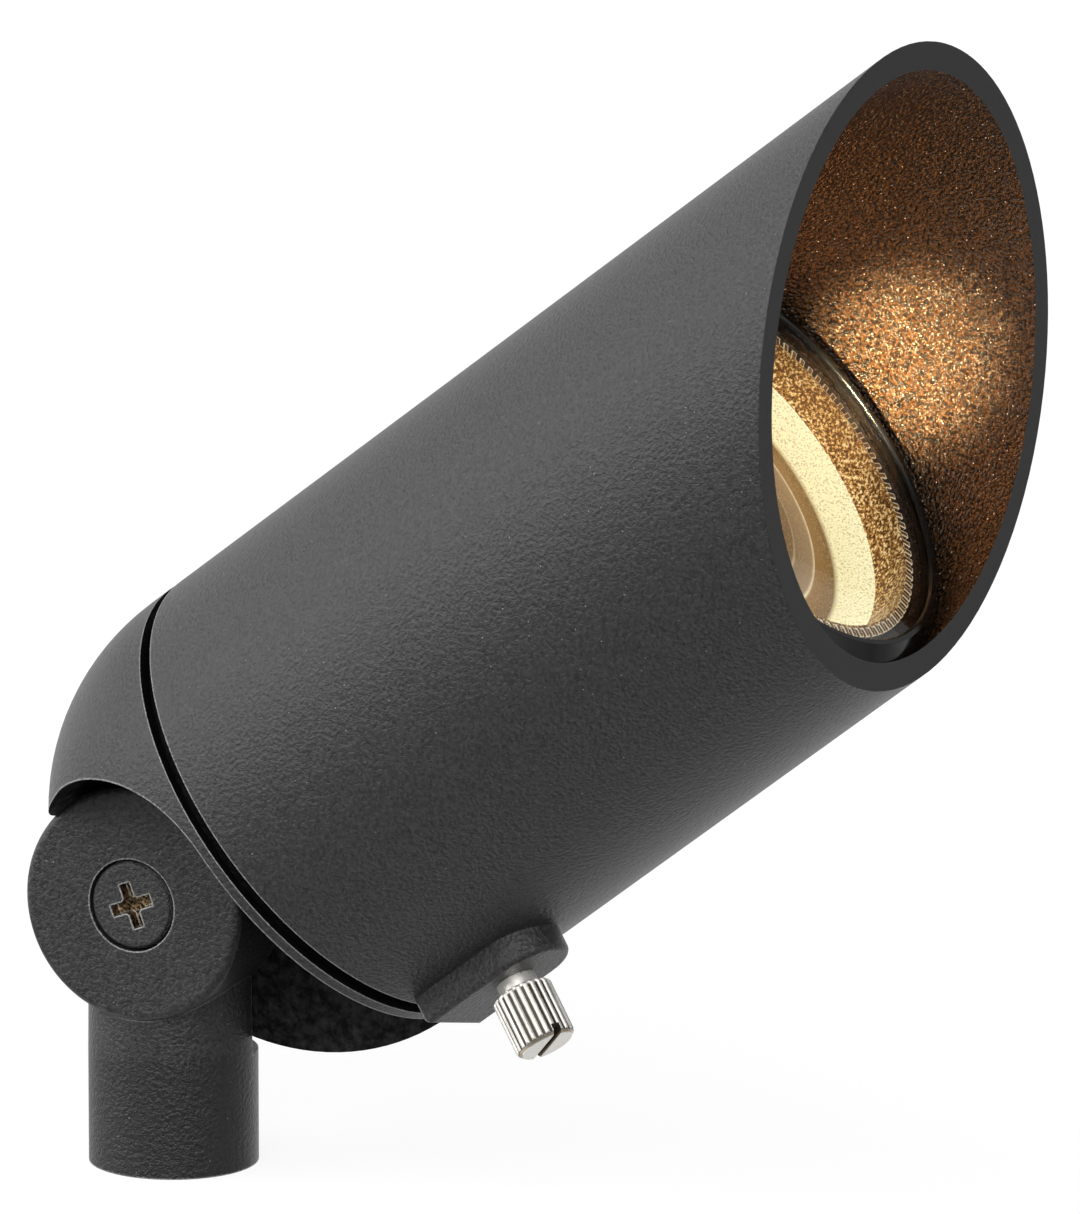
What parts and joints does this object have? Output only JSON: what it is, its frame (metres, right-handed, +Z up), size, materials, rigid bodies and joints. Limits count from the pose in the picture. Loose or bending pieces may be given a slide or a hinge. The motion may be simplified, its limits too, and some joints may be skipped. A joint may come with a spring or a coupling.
{
  "type": "accent spotlight",
  "caption": "Tubular accent spotlight with a slanted glare hood, a domed rear housing and a tilting knuckle on a round stem, with a reflector lamp behind a flat lens.",
  "frame": {"origin": "centre of the stem's lower end, where the stem enters its holder", "axes": "+Z up along the stem, +X the way the lamp aims, -Y the side with the knuckle screw's head"},
  "size_m": [0.1203, 0.0635, 0.1502],
  "materials": {
    "black_coat": "satin black powder coat with a fine orange-peel texture",
    "black_steel": "blackened steel, worn at the recess edges",
    "zinc_steel": "zinc-plated steel",
    "nickel": "bright nickel plate",
    "black_rubber": "matte rubber",
    "gasket_rubber": "glossy black silicone",
    "clear_glass": "clear flat glass",
    "lamp_aluminium": "die-cast aluminium, satin",
    "lamp_plastic": "off-white moulded plastic",
    "brass": "plain brass",
    "lamp_board": "white solder mask with a yellow light-emitting chip",
    "lamp_optic": "moulded clear optic, lit warm white",
    "lamp_rim": "cream moulded ring, lit from behind",
    "socket_ceramic": "unglazed ceramic",
    "lead_insulation": "pale silicone insulation"
  },
  "bodies": {
    "stem": {"knuckle_stem": "black_coat", "knuckle_ring": "black_rubber", "knuckle_washer": "zinc_steel"},
    "head": {"rear_housing": "black_coat", "lamp_housing": "lamp_aluminium", "lamp_base": "lamp_plastic", "lamp_pins": "brass", "led_board": "lamp_board", "lamp_optic": "lamp_optic", "lamp_bezel": "lamp_rim", "lamp_socket": "socket_ceramic", "socket_contacts": "brass", "socket_bracket": "zinc_steel", "bracket_screws": "zinc_steel", "socket_screws": "zinc_steel", "lead_wires": "lead_insulation", "wire_grommet": "black_rubber"},
    "knuckle_screw": {"knuckle_screw": "black_steel"},
    "hood_ring": {"hood_ring": "black_rubber"},
    "hood": {"hood": "black_coat", "lens_glass": "clear_glass", "lens_gasket": "gasket_rubber"},
    "thumbscrew": {"thumbscrew": "nickel"}
  },
  "joints": [
    {"name": "head_tilt", "type": "hinge", "parent": "stem", "child": "head", "pos_m": [0, 0, 0.0353], "axis": [0, -1, 0], "range_deg": [-4.9, 72.1]},
    {"name": "hood_swivel", "type": "hinge", "parent": "head", "child": "hood_ring", "pos_m": [0.00111, 0, 0.03388], "axis": [0.7891, 0, 0.6143], "continuous": true},
    {"name": "hood_slide", "type": "slide", "parent": "hood_ring", "child": "hood", "axis": [0.7891, 0, 0.6143], "range_m": [0, 0.017]},
    {"name": "thumbscrew_turn", "type": "hinge", "parent": "hood", "child": "thumbscrew", "pos_m": [0.0533, -0.00995, 0.02935], "axis": [0.5917, -0.2689, -0.76], "continuous": true},
    {"name": "knuckle_screw_turn", "type": "hinge", "parent": "head", "child": "knuckle_screw", "pos_m": [0, 0, 0.0353], "axis": [0, -1, 0], "continuous": true}
  ]
}
